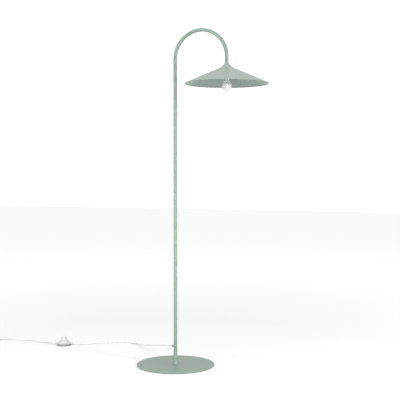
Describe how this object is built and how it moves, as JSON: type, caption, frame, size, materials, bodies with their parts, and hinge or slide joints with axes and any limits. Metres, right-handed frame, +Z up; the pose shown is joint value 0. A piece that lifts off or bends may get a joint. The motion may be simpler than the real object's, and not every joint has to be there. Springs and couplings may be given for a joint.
{
  "type": "floor lamp",
  "caption": "Floor lamp: round base, thin upright, swivelling swan-neck arm with a shallow cone shade and globe bulb, and a foot dimmer on its clear lead.",
  "frame": {"origin": "centre of the round base on the floor, on the axis of the upright", "axes": "+Z up along the upright; +X from the upright towards the shade; the lead leaves the upright towards -X"},
  "size_m": [1.5678, 0.537, 1.51],
  "materials": {
    "sage_paint": "satin powder coat",
    "base_foam": "matt closed-cell foam",
    "plated_steel": "bright zinc plate",
    "bush_plastic": "moulded acetal",
    "gland_plastic": "moulded grey-green nylon",
    "clear_cord": "clear PVC over silver strands",
    "clear_sleeve": "clear soft PVC",
    "holder_plastic": "moulded thermoplastic",
    "ceramic_core": "glazed steatite",
    "contact_brass": "nickelled brass",
    "opal_glass": "opal white glass",
    "bulb_plastic": "white polycarbonate",
    "led_board": "white solder mask",
    "bulb_metal": "nickel-plated cap",
    "dimmer_grey": "moulded ABS",
    "dimmer_clear": "milky clear polycarbonate",
    "foot_rubber": "matt rubber",
    "small_screws": "zinc plate",
    "board_laminate": "glass-epoxy laminate",
    "component_black": "moulded epoxy",
    "capacitor_film": "dipped film capacitor",
    "fuse_glass": "glass tube with end caps",
    "works_nylon": "natural nylon",
    "plug_white": "moulded white PVC",
    "pin_metal": "nickel-plated brass",
    "tie_strap": "woven hook-and-loop strap"
  },
  "bodies": {
    "stand": {"base_plate": "sage_paint", "base_pad": "base_foam", "base_screw": "plated_steel", "locating_pin": "plated_steel", "foot_collar": "sage_paint", "foot_insert": "plated_steel", "stem_tube": "sage_paint", "cord_gland": "gland_plastic", "gland_wedge": "gland_plastic", "gland_sleeve": "clear_sleeve", "swivel_bush": "bush_plastic", "thrust_washer": "bush_plastic", "stop_screw": "plated_steel", "stem_cable": "clear_cord", "lead_cord": "clear_cord", "dimmer_base": "dimmer_grey", "dimmer_feet": "foot_rubber", "dimmer_cover": "dimmer_clear", "dimmer_screws": "small_screws", "cord_clamps": "works_nylon", "clamp_screws": "small_screws", "dimmer_sleeves": "clear_sleeve", "circuit_board": "board_laminate", "dimmer_switch_body": "component_black", "return_spring": "small_screws", "dimmer_triac": "component_black", "dimmer_choke": "component_black", "dimmer_capacitor": "capacitor_film", "dimmer_fuse": "fuse_glass", "terminal_blocks": "works_nylon", "supply_cord": "clear_cord", "cord_coil": "clear_cord", "coil_tie": "tie_strap", "plug_cord": "clear_cord", "plug_relief": "plug_white", "plug_body": "plug_white", "plug_pins": "pin_metal"},
    "arm": {"arm_spigot": "plated_steel", "arm_tube": "sage_paint", "arm_end_insert": "plated_steel", "arm_cable": "clear_cord", "shade": "sage_paint", "shade_washer": "plated_steel", "shade_nut": "plated_steel", "shade_nipple": "plated_steel", "holder_cap": "holder_plastic", "holder_barrel": "holder_plastic", "holder_core": "ceramic_core", "terminal_screws": "contact_brass", "holder_shell": "contact_brass", "holder_contact": "contact_brass", "bulb_globe": "opal_glass", "bulb_collar": "bulb_plastic", "bulb_led_board": "led_board", "bulb_cap": "bulb_metal", "bulb_tip": "bulb_metal"},
    "switch_push": {"switch_slider": "works_nylon"},
    "dial": {"dimmer_knob": "dimmer_clear", "knob_shaft": "small_screws"}
  },
  "joints": [
    {"name": "arm_swivel", "type": "hinge", "parent": "stand", "child": "arm", "pos_m": [0, 0, 1.29], "axis": [0, 0, 1], "range_deg": [-160, 160]},
    {"name": "dimmer_press", "type": "slide", "parent": "stand", "child": "switch_push", "axis": [0, 0, -1], "range_m": [0, 0.0025], "stiffness_N_per_m": 400, "springref_m": -0.002, "deforming": ["return_spring"]},
    {"name": "dimmer_turn", "type": "hinge", "parent": "switch_push", "child": "dial", "pos_m": [-0.7, 0.18, 0.03], "axis": [0, 0, 1], "range_deg": [-135, 135]}
  ]
}
